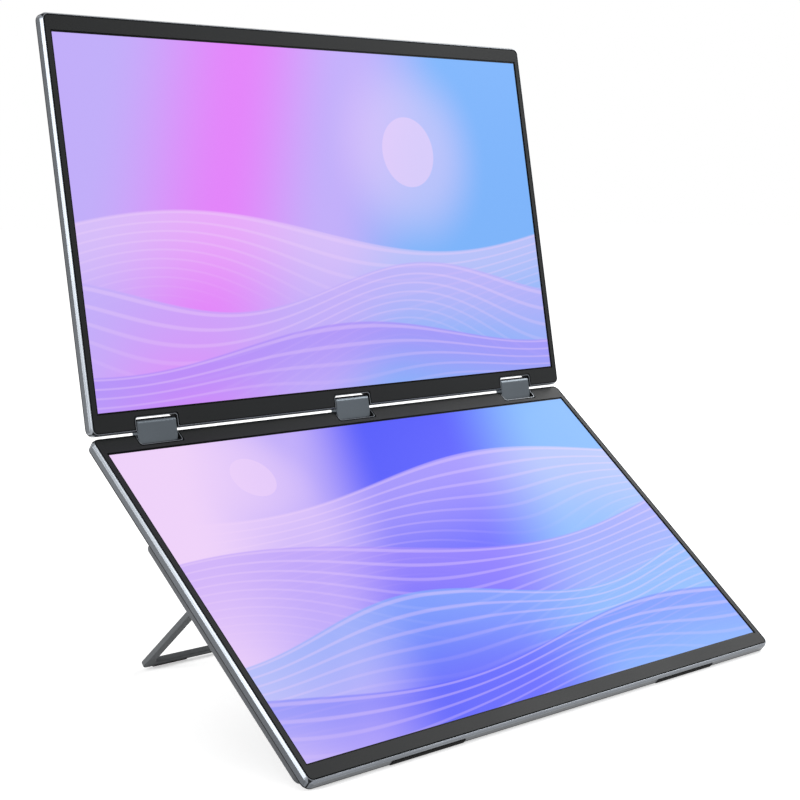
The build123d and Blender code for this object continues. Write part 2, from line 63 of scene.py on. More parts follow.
# Each panel's hinge axis, and its turn about X from upright
LOWER_AXIS = Vector(JOINTS["lower_hinge"]["pos_m"])
UPPER_AXIS = Vector(JOINTS["upper_hinge"]["pos_m"])
LINK = UPPER_AXIS - LOWER_AXIS
UPPER_TURN = math.atan2(-LINK.y, LINK.z)
LOWER_TURN = UPPER_TURN + math.radians(JOINTS["lower_hinge"]["range_deg"][0])

# Each panel's name, its hinge axis, its turn, and which way it lies from the axis along its own z
PANELS = (("upper", UPPER_AXIS, UPPER_TURN, 1), ("lower", LOWER_AXIS, LOWER_TURN, -1))

# How many contact strips lie on each side of a socket's tongue, and their pitch
CONTACTS = {
    "data_socket_1": (12, 0.0005),
    "data_socket_2": (12, 0.0005),
    "video_socket": (10, 0.00078),
}

# Turn of each housing screw from the one before it
SCREW_SPIN = 0.5


def colour(name, description, value):
    """A setting for a colour."""
    return FloatVectorProperty(name=name, description=description, default=value, subtype="COLOR",
                               size=3, min=0.0, max=1.0)


def length(name, description, value):
    """A setting for a length in metres."""
    return FloatProperty(name=name, description=description, default=value, unit="LENGTH",
                         precision=5)


class MonitorFinish(bpy.types.PropertyGroup):
    """Colours of the monitor's own surfaces."""
    frame_grey: colour("Frame", "Satin metal of the frames", (0.123, 0.133, 0.146))
    back_grey: colour("Rear covers", "Dark satin metal of the rear covers", (0.024, 0.0253, 0.0273))
    hinge_grey: colour("Hinge covers", "Satin metal of the hinge covers", (0.094, 0.109, 0.124))
    stand_grey: colour("Kickstand", "Painted metal of the kickstand", (0.134, 0.141, 0.147))
    housing_grey: colour("Housing", "Moulded plastic of the rear housing", (0.066, 0.071, 0.079))
    button_grey: colour("Buttons", "Moulded plastic of the buttons", (0.150, 0.154, 0.158))
    switch_black: colour("Switches", "Moulded plastic of the switches", (0.020, 0.020, 0.020))
    bezel_black: colour("Bezels", "Coated front bezels", (0.0062, 0.0074, 0.0078))
    rubber_black: colour("Rubber", "Feet and kickstand pads", (0.005, 0.005, 0.005))
    steel: colour("Steel", "Shafts, brackets, plates and pins", (0.480, 0.480, 0.490))
    brass: colour("Brass", "Friction bushes", (0.620, 0.430, 0.160))
    board_green: colour("Circuit boards", "Solder mask of the boards", (0.012, 0.090, 0.045))
    contact_gold: colour("Contacts", "Plated contact strips in the sockets", (0.830, 0.590, 0.220))


class MonitorEdges(bpy.types.PropertyGroup):
    """The edges that a frame's finish follows, in its panel's own frame."""
    half_width: length("Half width", "From a panel's middle to its sides", 0.2112)
    half_height: length("Half height", "From a panel's middle to its hinge edge", 0.12805)
    middle: length("Middle", "From a panel's hinge axis to its middle", 0.12485)
    chamfer_y: length("Chamfer", "Where the front chamfer meets the side", -0.0014)
    chamfer_in: length("Chamfer inset", "From the outline to the chamfer's inner ridge", 0.0008)
    groove_in: length("Groove inset", "From the outline to the groove round the bezel", 0.0012)
    # The groove settings place the painted shade in the groove round the bezel
    groove_y: length("Groove front", "Where the groove starts to darken", -0.0033)
    groove_dark_y: length("Groove depth", "Where the groove is fully dark", -0.0030)
    blur: length("Blur", "Half the width over which a finish changes at an edge", 0.0001)
    # The rubbed ridges are drawn lighter, partly as wear and partly as painted highlight
    ridge_width: length("Ridge width", "How far the rubbing reaches from a ridge", 0.0004)


class MonitorScreen(bpy.types.PropertyGroup):
    """The lit displays."""
    lit_width: length("Lit width", "Width of each lit area", 0.4096)
    lit_height: length("Lit height", "Height of each lit area", 0.2304)
    lit_start: length("Lit start", "From a panel's hinge axis to the lit area", 0.0106)
    glow: FloatProperty(name="Glow", description="Strength of the lit picture",
                        default=0.94, min=0.0)
    mist: colour("Mist", "Lightest tone of the picture", (0.905, 0.680, 1.000))
    rose: colour("Rose", "Pink tone of the picture", (0.800, 0.235, 1.000))
    lilac: colour("Lilac", "Soft tone of the picture", (0.560, 0.440, 1.000))
    violet: colour("Violet", "Middle tone of the picture", (0.420, 0.270, 1.000))
    indigo: colour("Indigo", "Deepest tone of the picture", (0.090, 0.105, 1.000))
    sky: colour("Sky", "Blue tone of the picture", (0.205, 0.470, 1.000))


class MonitorHardware(bpy.types.PropertyGroup):
    """Small hardware on the housing, in the lower panel's own frame."""
    screw_out: length("Outer screws", "Outer screws, to each side of the middle", 0.1917)
    screw_in: length("Inner screws", "Inner screws, to each side of the middle", 0.056)
    screw_top: length("Upper row", "From the hinge axis down to the upper row of screws", 0.0786)
    screw_far: length("Lower row", "From the hinge axis down to the lower row of screws", 0.2409)
    screw_back: length("Head face", "From the hinge axis back to the screw heads' faces", 0.00855)
    head_radius: length("Head radius", "Radius of a screw head", 0.0022)
    head_depth: length("Head depth", "Depth of a screw head", 0.00115)
    head_bevel: length("Head bevel", "Width of the rounded rim of a screw head", 0.00032)
    shank_radius: length("Shank radius", "Radius of a screw's shank", 0.0010)
    shank_length: length("Shank length", "Length of a screw's shank", 0.0050)
    recess_reach: length("Recess reach", "From a head's middle to the cross recess's ends", 0.0013)
    recess_width: length("Recess width", "Width of the cross recess", 0.0006)
    recess_depth: length("Recess depth", "Depth of the cross recess", 0.0006)
    recess_taper: FloatProperty(name="Recess taper", description="Recess's floor over its mouth",
                                default=0.72, min=0.1, max=1.0)
    shank_taper: FloatProperty(name="Shank taper", description="Shank's tip over its top",
                               default=0.8, min=0.1, max=1.0)
    contact_length: length("Contact length", "Length of a contact strip", 0.0042)
    contact_height: length("Contact height", "How far a strip stands off its tongue", 0.00004)
    contact_in: length("Contact inset", "From a socket's mouth to its contact strips", 0.0014)
    tongue_half: length("Half tongue", "Half the thickness of a socket's tongue", 0.00035)


class MonitorStudio(bpy.types.PropertyGroup):
    """Camera, floor and light from all round."""
    eye: FloatVectorProperty(name="Eye", description="Place of the camera", unit="LENGTH",
                             default=(-0.81578, -0.82967, 0.31404))
    heading: FloatProperty(name="Heading", description="Camera's turn from +Y towards +X",
                           subtype="ANGLE", default=0.76974)
    pitch: FloatProperty(name="Pitch", description="Camera's tilt above the horizon",
                         subtype="ANGLE", default=-0.11355)
    roll: FloatProperty(name="Roll", description="Camera's turn about its line of sight",
                        subtype="ANGLE", default=-0.00500)
    lens: FloatProperty(name="Lens", description="Focal length", unit="CAMERA", default=80.761)
    fill: FloatProperty(name="Fill", description="Light from all round", default=0.5, min=0.0)
    floor_half: length("Floor", "From the middle of the floor to its edges", 14.0)
    floor_drop: length("Floor drop", "How far the floor lies under the feet", 0.0002)


def panel_place(axis, turn):
    """A panel's own frame: x along the hinges, y back from the hinge axis, z up the panel."""
    return Matrix.Translation(axis) @ Matrix.Rotation(turn, 4, "X")


class Finish:
    """A material under construction: its node tree, its shader and short ways to add to them."""

    def __init__(self, name, **sockets):
        self.material = bpy.data.materials.new(name)
        self.material.use_nodes = True
        self.tree = self.material.node_tree
        self.shader = self.tree.nodes["Principled BSDF"]
        self.place = self.add("ShaderNodeTexCoord").outputs["Object"]
        for socket, value in sockets.items():
            self.put(self.shader.inputs[socket.replace("_", " ")], value)

    def add(self, kind, inputs=None, **settings):
        node = self.tree.nodes.new(kind)
        for name, value in settings.items():
            setattr(node, name, value)
        for name, value in (inputs or {}).items():
            self.put(node.inputs[name], value)
        return node

    def put(self, socket, value):
        if isinstance(value, bpy.types.NodeSocket):
            self.tree.links.new(value, socket)
        else:
            socket.default_value = value

    def set(self, socket, value):
        self.put(self.shader.inputs[socket], value)

    def maths(self, operation, *values):
        return self.add("ShaderNodeMath", dict(enumerate(values)), operation=operation).outputs[0]

    def spread(self, value, low, high, to_low=0.0, to_high=1.0, smooth=False):
        kind = "SMOOTHSTEP" if smooth else "LINEAR"
        inputs = {"Value": value, "From Min": low, "From Max": high,
                  "To Min": to_low, "To Max": to_high}
        return self.add("ShaderNodeMapRange", inputs, interpolation_type=kind).outputs["Result"]

    def tint(self, factor, first, second):
        # The colour mix's own sockets: factor, the two colours and the result
        node = self.add("ShaderNodeMix", {0: factor, 6: first, 7: second}, data_type="RGBA")
        return node.outputs[2]

    def noise(self, scale, detail=2.0, stretch=None):
        vector = self.place
        if stretch:
            inputs = {"Vector": vector, "Scale": stretch}
            vector = self.add("ShaderNodeMapping", inputs).outputs["Vector"]
        inputs = {"Vector": vector, "Scale": scale, "Detail": detail}
        return self.add("ShaderNodeTexNoise", inputs).outputs["Fac"]

    def in_panel(self, origin, turn, size=(1.0, 1.0, 1.0)):
        """The surface point in a panel's own frame, measured from an origin in units of a size."""
        inputs = {"Vector": self.place, "Location": origin, "Rotation": (turn, 0.0, 0.0),
                  "Scale": size}
        vector = self.add("ShaderNodeMapping", inputs, vector_type="TEXTURE").outputs["Vector"]
        return self.add("ShaderNodeSeparateXYZ", {"Vector": vector}).outputs

    def bumps(self, height, strength, distance):
        inputs = {"Height": height, "Strength": strength, "Distance": distance}
        self.set("Normal", self.add("ShaderNodeBump", inputs).outputs["Normal"])


def shade(rgb, factor=1.0):
    """An opaque colour, made lighter or darker by a factor."""
    return (*[min(1.0, value * factor) for value in rgb], 1.0)


def satin_metal(name, rgb, roughness, edges=None):
    """Blasted, anodised metal: cloudy tone, fine grain and, with edges given, a painted highlight on
    the chamfer, ridges drawn lighter as wear and painted highlight, and painted shade in the groove
    round the bezel.
    """
    finish = Finish(name, Metallic=0.88)
    cloud = finish.noise(16.0, 3.0)
    grain = finish.noise(2600.0, 1.0)
    tone = finish.tint(finish.spread(cloud, 0.35, 0.65), shade(rgb, 0.93), shade(rgb, 1.05))
    tone = finish.tint(finish.spread(grain, 0.3, 0.7, 0.0, 0.2), tone, shade(rgb, 0.8))
    gloss = finish.spread(cloud, 0.3, 0.7, roughness - 0.03, roughness + 0.04)
    if edges:
        chamfer_highlight, ridge, groove_shade = edges(finish)
        patches = finish.spread(finish.noise(22.0, 1.0), 0.4, 0.7, 0.3, 1.0)
        # Wear and painted highlight: the ridges are drawn lighter where rubbed, partly wear and
        # partly standing in for highlights on their fillets
        wear_and_highlight = finish.maths("MULTIPLY", ridge, patches)
        # Painted highlight: the chamfer is drawn lighter, standing in for the lamp's highlight along
        # the front edge
        tone = finish.tint(finish.maths("MULTIPLY", chamfer_highlight, 0.35), tone, shade(rgb, 2.0))
        tone = finish.tint(wear_and_highlight, tone, shade(rgb, 2.0))
        # Painted shade: the groove round the bezel is drawn nearly black where shade falls in it
        tone = finish.tint(groove_shade, tone, shade(rgb, 0.1))
        gloss = finish.maths("MULTIPLY_ADD", groove_shade, 0.3, gloss)
    finish.set("Base Color", tone)
    finish.set("Roughness", finish.maths("ADD", gloss, finish.spread(grain, 0.3, 0.7, -0.02, 0.02)))
    finish.bumps(grain, 0.008, 0.0001)
    return finish.material


def panel_edges(axis, turn, way, edges):
    """Masks for a panel's front chamfer (painted highlight), the ridges beside it (wear and painted
    highlight) and the groove round the bezel (painted shade).
    """
    def masks(finish):
        x, y, z = finish.in_panel(axis, turn)
        across = finish.maths("SUBTRACT", edges.half_width, finish.maths("ABSOLUTE", x))
        along = finish.maths("ABSOLUTE", finish.maths("SUBTRACT", z, way * edges.middle))
        along = finish.maths("SUBTRACT", edges.half_height, along)
        inset = finish.maths("MINIMUM", across, along)
        # Where the chamfer is drawn lighter as a painted highlight
        chamfer_highlight = finish.spread(y, edges.chamfer_y - edges.blur, edges.chamfer_y + edges.blur, 1.0, 0.0)
        front = finish.maths("ABSOLUTE", finish.maths("SUBTRACT", inset, edges.chamfer_in))
        side = finish.maths("ABSOLUTE", finish.maths("SUBTRACT", y, edges.chamfer_y))
        # The ridges, drawn lighter where rubbed: wear and painted highlight
        ridge = finish.maths("MINIMUM", front, side)
        ridge = finish.spread(ridge, edges.blur, edges.ridge_width, 1.0, 0.0, smooth=True)
        # The groove round the bezel, darkened as painted shade
        sunk = finish.spread(y, edges.groove_y, edges.groove_dark_y)
        inside = finish.maths("GREATER_THAN", inset, edges.groove_in)
        return chamfer_highlight, ridge, finish.maths("MULTIPLY", sunk, inside)
    return masks


def painted_metal(name, rgb, roughness):
    """Flat powder paint with an orange-peel skin and an uneven tone."""
    finish = Finish(name, Specular_IOR_Level=0.04)
    cloud = finish.noise(14.0, 3.0)
    peel = finish.noise(900.0, 2.0)
    tone = finish.tint(finish.spread(cloud, 0.35, 0.65), shade(rgb, 0.93), shade(rgb, 1.06))
    finish.set("Base Color", tone)
    finish.set("Roughness", finish.spread(cloud, 0.3, 0.7, roughness - 0.04, roughness + 0.05))
    finish.bumps(peel, 0.06, 0.0001)
    return finish.material


def moulded_plastic(name, rgb, roughness):
    """Moulded plastic with a spark-eroded texture and a slightly uneven gloss."""
    finish = Finish(name, IOR=1.5)
    cloud = finish.noise(22.0, 3.0)
    pits = finish.noise(1700.0, 2.0)
    tone = finish.tint(finish.spread(cloud, 0.35, 0.65), shade(rgb, 0.92), shade(rgb, 1.07))
    tone = finish.tint(finish.spread(pits, 0.35, 0.65, 0.0, 0.3), tone, shade(rgb, 0.72))
    finish.set("Base Color", tone)
    finish.set("Roughness", finish.spread(cloud, 0.3, 0.7, roughness - 0.05, roughness + 0.06))
    finish.bumps(pits, 0.25, 0.0001)
    return finish.material


def coated_black(name, rgb):
    """A black printed film over the bezel: faint haze, fine tooth."""
    finish = Finish(name, IOR=1.5, Specular_IOR_Level=0.15)
    haze = finish.noise(9.0, 4.0)
    tooth = finish.noise(3200.0, 1.0)
    tone = finish.tint(finish.spread(haze, 0.35, 0.65), shade(rgb, 0.8), shade(rgb, 1.25))
    finish.set("Base Color", tone)
    finish.set("Roughness", finish.spread(haze, 0.3, 0.7, 0.48, 0.56))
    finish.bumps(tooth, 0.05, 0.00006)
    return finish.material


def black_rubber(name, rgb):
    """Matt rubber with dust in its grain."""
    finish = Finish(name, IOR=1.45, Specular_IOR_Level=0.2)
    grain = finish.noise(1300.0, 3.0)
    dust = finish.noise(120.0, 4.0)
    tone = finish.tint(finish.spread(dust, 0.55, 0.8), shade(rgb), shade(rgb, 2.4))
    finish.set("Base Color", tone)
    finish.set("Roughness", finish.spread(grain, 0.3, 0.7, 0.72, 0.92))
    finish.bumps(grain, 0.4, 0.00015)
    return finish.material


def turned_metal(name, rgb, roughness):
    """Turned or stamped metal with fine marks across the hinge line."""
    finish = Finish(name, Metallic=1.0)
    marks = finish.noise(60.0, 3.0, stretch=(60.0, 1.0, 1.0))
    tone = finish.tint(finish.spread(marks, 0.3, 0.7), shade(rgb, 0.85), shade(rgb, 1.1))
    finish.set("Base Color", tone)
    finish.set("Roughness", finish.spread(marks, 0.3, 0.7, roughness - 0.06, roughness + 0.08))
    finish.bumps(marks, 0.08, 0.00008)
    return finish.material


def circuit_board(name, rgb):
    """Solder mask over copper tracks."""
    finish = Finish(name, IOR=1.5)
    inputs = {"Vector": finish.place, "Scale": 220.0, "Mortar Size": 0.03, "Color1": shade(rgb),
              "Color2": shade(rgb, 1.15), "Mortar": shade(rgb, 2.1)}
    tracks = finish.add("ShaderNodeTexBrick", inputs)
    finish.set("Base Color", tracks.outputs["Color"])
    finish.set("Roughness", finish.spread(finish.noise(40.0), 0.3, 0.7, 0.3, 0.45))
    finish.bumps(tracks.outputs["Fac"], 0.3, 0.00005)
    return finish.material


def white_film(name):
    """The edge of the backlight's stacked films."""
    finish = Finish(name, IOR=1.5)
    layers = finish.noise(900.0, 2.0, stretch=(0.02, 1.0, 1.0))
    dim, bright = shade((0.62, 0.63, 0.65)), shade((0.86, 0.87, 0.9))
    finish.set("Base Color", finish.tint(layers, dim, bright))
    finish.set("Roughness", finish.spread(layers, 0.3, 0.7, 0.25, 0.4))
    return finish.material


def ramp(finish, factor, stops):
    """A smooth run through colours at their places."""
    node = finish.add("ShaderNodeValToRGB", {"Fac": factor})
    band = node.color_ramp
    band.interpolation = "EASE"
    while len(band.elements) < len(stops):
        band.elements.new(0.5)
    for element, (place, rgb) in zip(band.elements, stops):
        element.position = place
        element.color = shade(rgb)
    return node.outputs["Color"]


def hill(finish, picture, across, up, light, base, swell, waves, shift, rgb, depth, strength):
    """One misty hill over the picture: bright crest, fine ripples, fading downwards."""
    angle = finish.maths("MULTIPLY_ADD", across, 2 * math.pi * waves, shift)
    crest = finish.maths("MULTIPLY_ADD", finish.maths("SINE", angle), swell, base)
    below = finish.maths("SUBTRACT", crest, up)
    edge = finish.spread(below, -0.003, 0.003, smooth=True)
    fade = finish.spread(below, 0.0, depth, strength, 0.04, smooth=True)
    picture = finish.tint(finish.maths("MULTIPLY", edge, fade), picture, shade(rgb))
    drift = finish.maths("SINE", finish.maths("MULTIPLY_ADD", across, 7.0, shift * 1.7))
    closeness = finish.maths("MULTIPLY_ADD", drift, 70.0, 190.0)
    ripple = finish.maths("SINE", finish.maths("MULTIPLY", below, closeness))
    thin = finish.spread(below, 0.0, depth, 0.30, 0.0, smooth=True)
    line = finish.maths("MULTIPLY", finish.spread(ripple, 0.55, 1.0, smooth=True), thin)
    return finish.tint(finish.maths("MULTIPLY", edge, line), picture, shade(light))


def lit_display(name, origin, turn, screen, stops, lean, disc, hills):
    """A lit picture of misty hills, inside a black border, under a satin front film."""
    finish = Finish(name, IOR=1.45, Specular_IOR_Level=0.07)
    across, _, up = finish.in_panel(origin, turn, (screen.lit_width, 1.0, screen.lit_height))
    run = finish.maths("MULTIPLY_ADD", finish.maths("SUBTRACT", up, 0.5), lean, across)
    picture = ramp(finish, run, stops)
    disc_across, disc_up, radius = disc
    wide = finish.maths("SUBTRACT", across, disc_across)
    wide = finish.maths("MULTIPLY", wide, screen.lit_width / screen.lit_height)
    high = finish.maths("SUBTRACT", up, disc_up)
    squares = [finish.maths("POWER", value, 2.0) for value in (wide, high)]
    from_disc = finish.maths("SQRT", finish.maths("ADD", *squares))
    halo = finish.spread(from_disc, radius, radius * 3.2, 0.42, 0.0, smooth=True)
    core = finish.spread(from_disc, radius * 0.97, radius, 0.3, 0.0, smooth=True)
    picture = finish.tint(finish.maths("ADD", halo, core), picture, shade(screen.mist))
    for settings in hills:
        picture = hill(finish, picture, across, up, screen.mist, **settings)
    inside = finish.maths("MULTIPLY", finish.maths("COMPARE", across, 0.5, 0.5),
                          finish.maths("COMPARE", up, 0.5, 0.5))
    dim, bright = shade((0.0025, 0.0025, 0.003)), shade((0.0045, 0.0045, 0.005))
    finish.set("Base Color", finish.tint(finish.noise(300.0), dim, bright))
    finish.set("Emission Color", finish.tint(inside, shade((0.0, 0.0, 0.0)), picture))
    finish.set("Emission Strength", screen.glow)
    finish.set("Roughness", finish.spread(finish.noise(2800.0, 1.0), 0.3, 0.7, 0.28, 0.36))
    return finish.material


def dress(material, *names):
    """Gives CAD nodes one material."""
    for name in names:
        data = NODES[name].data
        data.materials.clear()
        data.materials.append(material)


def each(pattern, *sides):
    """The names that a pattern gives for some sides."""
    return [pattern.format(side) for side in sides]


def new_piece(name, bm, material, body):
    """A finished mesh as a piece that rides on a CAD body."""
    bmesh.ops.recalc_face_normals(bm, faces=bm.faces)
    data = bpy.data.meshes.new(name)
    bm.to_mesh(data)
    bm.free()
    data.materials.append(material)
    piece = bpy.data.objects.new(name, data)
    bpy.context.scene.collection.objects.link(piece)
    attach(piece, body)
    return piece


class MONITOR_OT_shells(bpy.types.Operator):
    """Finish the frames and rear covers in satin metal"""
    bl_idname = "monitor.shells"
    bl_label = "Shells"

    def execute(self, context):
        finish = context.scene.monitor_finish
        for name, axis, turn, way in PANELS:
            edges = panel_edges(axis, turn, way, context.scene.monitor_edges)
            # The frames carry a painted highlight on the chamfer, lighter rubbed ridges and painted
            # shade in the groove round the bezel
            metal = satin_metal(f"{name} frame metal", finish.frame_grey, 0.28, edges)
            dress(metal, f"{name}_frame")
        back = satin_metal("back metal", finish.back_grey, roughness=0.40)
        dress(back, "upper_rear_cover", "lower_rear_cover")
        return {"FINISHED"}


class MONITOR_OT_bezels(bpy.types.Operator):
    """Finish the front bezels in coated black"""
    bl_idname = "monitor.bezels"
    bl_label = "Bezels"

    def execute(self, context):
        rgb = context.scene.monitor_finish.bezel_black
        dress(coated_black("bezel black", rgb), "upper_bezel", "lower_bezel")
        return {"FINISHED"}


class MONITOR_OT_displays(bpy.types.Operator):
    """Light both displays, with their backlights and driver boards"""
    bl_idname = "monitor.displays"
    bl_label = "Displays"

    def execute(self, context):
        screen = context.scene.monitor_screen
        finish = context.scene.monitor_finish
        corner = Vector((-screen.lit_width / 2, 0.0, screen.lit_start))
        upper = panel_place(UPPER_AXIS, UPPER_TURN) @ corner
        corner.z = -screen.lit_start - screen.lit_height
        lower = panel_place(LOWER_AXIS, LOWER_TURN) @ corner
        mist, rose, lilac, violet, indigo, sky = (tuple(value) for value in (
            screen.mist, screen.rose, screen.lilac, screen.violet, screen.indigo, screen.sky))
        upper_stops = ((0.0, lilac), (0.27, rose), (0.50, lilac), (0.72, sky), (1.0, sky))
        lower_stops = ((0.0, mist), (0.22, lilac), (0.40, indigo), (0.56, indigo), (0.80, sky),
                       (1.0, sky))
        # Hills from the farthest to the nearest
        upper_hills = (
            dict(base=0.46, swell=0.07, waves=0.85, shift=0.6, depth=0.3, strength=0.42, rgb=mist),
            dict(base=0.3, swell=0.06, waves=1.25, shift=2.4, depth=0.34, strength=0.62, rgb=lilac),
            dict(base=0.14, swell=0.05, waves=1.05, shift=4.4, depth=0.26, strength=0.66, rgb=violet),
        )
        lower_hills = (
            dict(base=0.78, swell=0.06, waves=0.95, shift=3.6, depth=0.4, strength=0.36, rgb=mist),
            dict(base=0.55, swell=0.075, waves=0.8, shift=1.2, depth=0.4, strength=0.48, rgb=violet),
            dict(base=0.34, swell=0.055, waves=1.3, shift=5.0, depth=0.34, strength=0.55, rgb=sky),
            dict(base=0.16, swell=0.05, waves=1.0, shift=2.6, depth=0.3, strength=0.45, rgb=indigo),
        )
        dress(lit_display("upper lit display", upper, UPPER_TURN, screen, upper_stops, lean=-0.18,
                          disc=(0.70, 0.70, 0.11), hills=upper_hills), "upper_lcd_cell")
        dress(lit_display("lower lit display", lower, LOWER_TURN, screen, lower_stops, lean=-0.22,
                          disc=(0.22, 0.86, 0.07), hills=lower_hills), "lower_lcd_cell")
        dress(white_film("backlight films"), "upper_backlight", "lower_backlight")
        boards = circuit_board("circuit board", finish.board_green)
        dress(boards, "upper_driver_board", "lower_driver_board", "main_board")
        return {"FINISHED"}


class MONITOR_OT_hinges(bpy.types.Operator):
    """Finish the hinge covers and the metal parts inside them"""
    bl_idname = "monitor.hinges"
    bl_label = "Hinges"

    def execute(self, context):
        finish = context.scene.monitor_finish
        covers = satin_metal("hinge cover metal", finish.hinge_grey, roughness=0.32)
        dress(covers, *each("hinge_cover_front_{}", *SIDES), *each("hinge_cover_rear_{}", *SIDES))
        steel = turned_metal("hinge steel", finish.steel, roughness=0.30)
        dress(steel, *each("hinge_link_plates_{}", *SIDES))
        for panel in ("upper", "lower"):
            dress(steel, f"{panel}_hinge_screws", *each(panel + "_hinge_bracket_{}", *SIDES),
                  *each(panel + "_hinge_shaft_{}", *SIDES))
        brass = turned_metal("bush brass", finish.brass, roughness=0.32)
        dress(brass, *each("friction_bushes_{}", *SIDES))
        return {"FINISHED"}


class MONITOR_OT_housing(bpy.types.Operator):
    """Finish the rear housing, its buttons and switches"""
    bl_idname = "monitor.housing"
    bl_label = "Housing"

    def execute(self, context):
        finish = context.scene.monitor_finish
        housing = moulded_plastic("housing plastic", finish.housing_grey, roughness=0.46)
        dress(housing, "rear_housing")
        buttons = moulded_plastic("button plastic", finish.button_grey, roughness=0.36)
        dress(buttons, "power_button", "menu_button")
        switches = moulded_plastic("switch plastic", finish.switch_black, roughness=0.5)
        dress(switches, "button_switches")
        return {"FINISHED"}


def faces_up(face):
    return face.normal.z > 0.99


def screw_mesh(hardware):
    """One screw with its head's face at z = 0: a bevelled head, a cross recess and a shank."""
    bm = bmesh.new()
    radius = hardware.head_radius
    middle = Matrix.Translation((0.0, 0.0, -hardware.head_depth / 2))
    bmesh.ops.create_cone(bm, cap_ends=True, segments=36, radius1=radius, radius2=radius,
                          depth=hardware.head_depth, matrix=middle)
    rim = [edge for edge in bm.edges if all(vert.co.z > -1e-6 for vert in edge.verts)]
    bmesh.ops.bevel(bm, geom=rim, offset=hardware.head_bevel, offset_type="OFFSET", affect="EDGES",
                    segments=4, profile=0.5, material=-1)
    reach = hardware.recess_reach
    half = hardware.recess_width / 2
    for normal in (Vector((1, 0, 0)), Vector((0, 1, 0))):
        for place in (-reach, -half, half, reach):
            top = [face for face in bm.faces if faces_up(face)]
            parts = {part for face in top for part in (face, *face.edges, *face.verts)}
            bmesh.ops.bisect_plane(bm, geom=list(parts), plane_co=normal * place, plane_no=normal)
            bm.normal_update()
    cross = []
    for face in bm.faces:
        centre = face.calc_center_median()
        wide, narrow = sorted((abs(centre.x), abs(centre.y)), reverse=True)
        if faces_up(face) and narrow < half and wide < reach:
            cross.append(face)
    walls = bmesh.ops.extrude_face_region(bm, geom=cross)
    floor = [part for part in walls["geom"] if isinstance(part, bmesh.types.BMVert)]
    bmesh.ops.scale(bm, vec=(hardware.recess_taper, hardware.recess_taper, 1.0), verts=floor)
    bmesh.ops.translate(bm, vec=(0.0, 0.0, -hardware.recess_depth), verts=floor)
    shank = Matrix.Translation((0.0, 0.0, -hardware.head_depth - hardware.shank_length / 2))
    bmesh.ops.create_cone(bm, cap_ends=True, segments=20, depth=hardware.shank_length, matrix=shank,
                          radius1=hardware.shank_radius * hardware.shank_taper,
                          radius2=hardware.shank_radius)
    data = bpy.data.meshes.new("screw")
    bm.to_mesh(data)
    bm.free()
    return data


class MONITOR_OT_screws(bpy.types.Operator):
    """Model the housing's screws, with their cross recesses"""
    bl_idname = "monitor.screws"
    bl_label = "Screws"

    def execute(self, context):
        hardware = context.scene.monitor_hardware
        panel = panel_place(LOWER_AXIS, LOWER_TURN)
        out, inner = hardware.screw_out, hardware.screw_in
        places = [(x, hardware.screw_top) for x in (-out, -inner, inner, out)]
        places += [(x, hardware.screw_far) for x in (-out, out)]
        backwards = Matrix.Rotation(-math.pi / 2, 4, "X")
        bm = bmesh.new()
        for index, (x, down) in enumerate(places):
            one = screw_mesh(hardware)
            spin = Matrix.Rotation(SCREW_SPIN * index, 4, "Z")
            stand = Matrix.Translation((x, hardware.screw_back, -down)) @ backwards
            one.transform(panel @ stand @ spin)
            bm.from_mesh(one)
            bpy.data.meshes.remove(one)
        steel = turned_metal("screw steel", context.scene.monitor_finish.steel, roughness=0.34)
        piece = new_piece("housing_cross_screws", bm, steel, "lower_screen")
        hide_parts("housing_screws")
        return {"FINISHED"}


class MONITOR_OT_sockets(bpy.types.Operator):
    """Finish the sockets and add the contact strips on their tongues"""
    bl_idname = "monitor.sockets"
    bl_label = "Sockets"

    def execute(self, context):
        finish = context.scene.monitor_finish
        hardware = context.scene.monitor_hardware
        dress(turned_metal("socket steel", finish.steel, roughness=0.28), *CONTACTS)
        gold = turned_metal("contact gold", finish.contact_gold, roughness=0.22)
        long, high = hardware.contact_length, hardware.contact_height
        for name, (count, pitch) in CONTACTS.items():
            near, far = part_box(name)
            middle = (near + far) / 2
            middle.x = far.x - hardware.contact_in - long / 2
            place = Matrix.Translation(middle) @ Matrix.Rotation(LOWER_TURN, 4, "X")
            size = Matrix.Diagonal((long, high, pitch / 2, 1.0))
            bm = bmesh.new()
            for side in (-1, 1):
                for index in range(count):
                    away = side * (hardware.tongue_half + high / 2)
                    along = (index - (count - 1) / 2) * pitch
                    step = Matrix.Translation((0.0, away, along))
                    bmesh.ops.create_cube(bm, size=1.0, matrix=place @ step @ size)
            new_piece(f"{name}_contacts", bm, gold, "lower_screen")
        return {"FINISHED"}


class MONITOR_OT_kickstand(bpy.types.Operator):
    """Finish the kickstand, its pins and the rubber feet"""
    bl_idname = "monitor.kickstand"
    bl_label = "Kickstand"

    def execute(self, context):
        finish = context.scene.monitor_finish
        ends = ("left", "right")
        dress(painted_metal("kickstand paint", finish.stand_grey, roughness=0.45), "kickstand")
        pins = turned_metal("pin steel", finish.steel, roughness=0.30)
        dress(pins, *each("kickstand_pin_{}", *ends))
        rubber = black_rubber("foot rubber", finish.rubber_black)
        dress(rubber, *each("kickstand_pad_{}", *ends), *each("front_foot_{}", *ends))
        return {"FINISHED"}


def seen_directly(tree):
    """A value that is 1 for camera, glossy and transmission rays."""
    path = tree.nodes.new("ShaderNodeLightPath")
    total = path.outputs["Is Camera Ray"]
    for name in ("Is Glossy Ray", "Is Transmission Ray"):
        node = tree.nodes.new("ShaderNodeMath")
        node.operation = "MAXIMUM"
        tree.links.new(total, node.inputs[0])
        tree.links.new(path.outputs[name], node.inputs[1])
        total = node.outputs[0]
    return total


